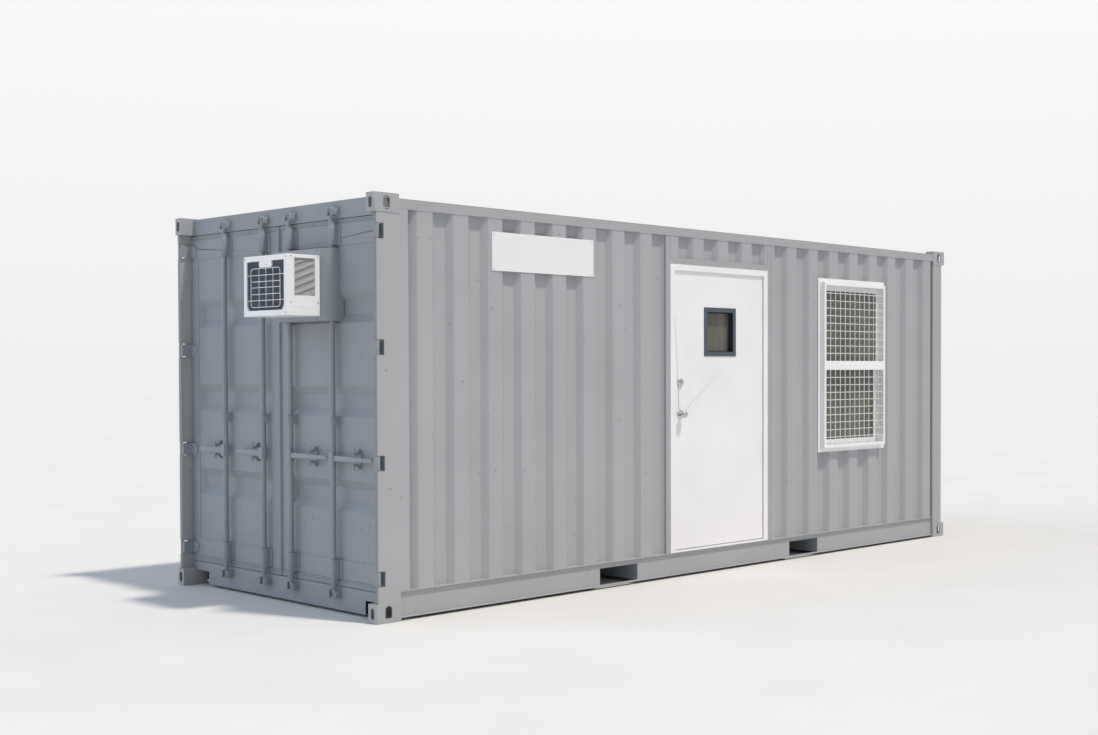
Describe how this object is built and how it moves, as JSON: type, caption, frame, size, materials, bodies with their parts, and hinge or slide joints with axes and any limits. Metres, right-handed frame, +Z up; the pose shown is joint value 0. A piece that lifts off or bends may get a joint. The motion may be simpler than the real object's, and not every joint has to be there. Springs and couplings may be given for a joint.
{
  "type": "shipping container cabin",
  "caption": "Corrugated steel container cabin with hinged cargo doors and lock rods at one end, an air conditioner on a cargo leaf, a side door with a vision panel and a screened window.",
  "frame": {"origin": "on the ground plane, in the middle of the four bottom corner castings' twistlock slots", "axes": "+Z up; +X along the length, from the cargo doors to the blind end; -Y out of the wall with the personnel door and the window"},
  "size_m": [6.284, 2.4863, 2.591],
  "materials": {
    "wall_paint": "satin",
    "frame_paint": "satin",
    "cargo_paint": "satin",
    "white_paint": "satin",
    "dark_paint": "satin",
    "sign_plate": "satin",
    "glass": "polished",
    "floor_wood": "matte",
    "lining_board": "satin",
    "seal_rubber": "matte",
    "lock_metal": "satin",
    "ac_casing": "satin"
  },
  "bodies": {
    "cabin": {"corner_castings": "wall_paint", "door_posts": "wall_paint", "blind_end_posts": "wall_paint", "door_header": "frame_paint", "door_sill": "frame_paint", "cam_keepers": "frame_paint", "bottom_side_rails": "wall_paint", "top_side_rails": "wall_paint", "blind_end_rails": "frame_paint", "cross_members": "frame_paint", "forklift_pockets": "frame_paint", "floor": "floor_wood", "roof_panel": "frame_paint", "rear_wall": "wall_paint", "blind_end_wall": "wall_paint", "front_wall_left": "wall_paint", "front_wall_over_door": "wall_paint", "front_wall_right": "wall_paint", "doorway_surround": "wall_paint", "front_lining_left": "lining_board", "front_lining_over_door": "lining_board", "front_lining_right": "lining_board", "rear_lining": "lining_board", "blind_end_lining": "lining_board", "ceiling": "lining_board", "door_frame": "white_paint", "door_hinges": "lock_metal", "window_frame": "white_paint", "window_sashes": "white_paint", "window_glass": "glass", "sign_board": "sign_plate"},
    "cabin_door": {"door_leaf": "white_paint", "door_hinge_leaves": "lock_metal", "vision_frame": "dark_paint", "vision_glass": "glass", "lock_trim": "lock_metal"},
    "door_knob": {"door_knob": "lock_metal"},
    "left_cargo_leaf": {"left_leaf_frame": "cargo_paint", "left_leaf_panel": "cargo_paint", "left_leaf_seal": "seal_rubber", "left_leaf_guides": "cargo_paint"},
    "left_outer_rod": {"left_outer_rod": "cargo_paint"},
    "left_inner_rod": {"left_inner_rod": "cargo_paint"},
    "right_cargo_leaf": {"right_leaf_frame": "cargo_paint", "right_leaf_panel": "cargo_paint", "right_leaf_seal": "seal_rubber", "right_leaf_guides": "cargo_paint", "ac_housing": "wall_paint", "air_conditioner": "ac_casing", "ac_indoor_fascia": "ac_casing"},
    "right_inner_rod": {"right_inner_rod": "cargo_paint"},
    "right_outer_rod": {"right_outer_rod": "cargo_paint"}
  },
  "joints": [
    {"name": "cabin_door_swing", "type": "hinge", "parent": "cabin", "child": "cabin_door", "pos_m": [0.522, -1.151, 1.231], "axis": [0, 0, -1], "range_deg": [0, 100]},
    {"name": "door_knob_turn", "type": "hinge", "parent": "cabin_door", "child": "door_knob", "pos_m": [-0.412, -1.203, 1.196], "axis": [0, 1, 0], "range_deg": [-60, 60]},
    {"name": "left_leaf_swing", "type": "hinge", "parent": "cabin", "child": "left_cargo_leaf", "pos_m": [-3.001, 1.204, 1.313], "axis": [0, 0, -1], "range_deg": [0, 270]},
    {"name": "left_outer_rod_turn", "type": "hinge", "parent": "left_cargo_leaf", "child": "left_outer_rod", "pos_m": [-2.963, 0.661, 1.313], "axis": [0, 0, -1], "range_deg": [-90, 0]},
    {"name": "left_inner_rod_turn", "type": "hinge", "parent": "left_cargo_leaf", "child": "left_inner_rod", "pos_m": [-2.963, 0.168, 1.313], "axis": [0, 0, -1], "range_deg": [-90, 0]},
    {"name": "right_leaf_swing", "type": "hinge", "parent": "cabin", "child": "right_cargo_leaf", "pos_m": [-3.001, -1.204, 1.313], "axis": [0, 0, 1], "range_deg": [0, 240]},
    {"name": "right_inner_rod_turn", "type": "hinge", "parent": "right_cargo_leaf", "child": "right_inner_rod", "pos_m": [-2.963, -0.168, 1.313], "axis": [0, 0, 1], "range_deg": [-90, 0]},
    {"name": "right_outer_rod_turn", "type": "hinge", "parent": "right_cargo_leaf", "child": "right_outer_rod", "pos_m": [-2.963, -0.661, 1.313], "axis": [0, 0, 1], "range_deg": [-90, 0]}
  ]
}
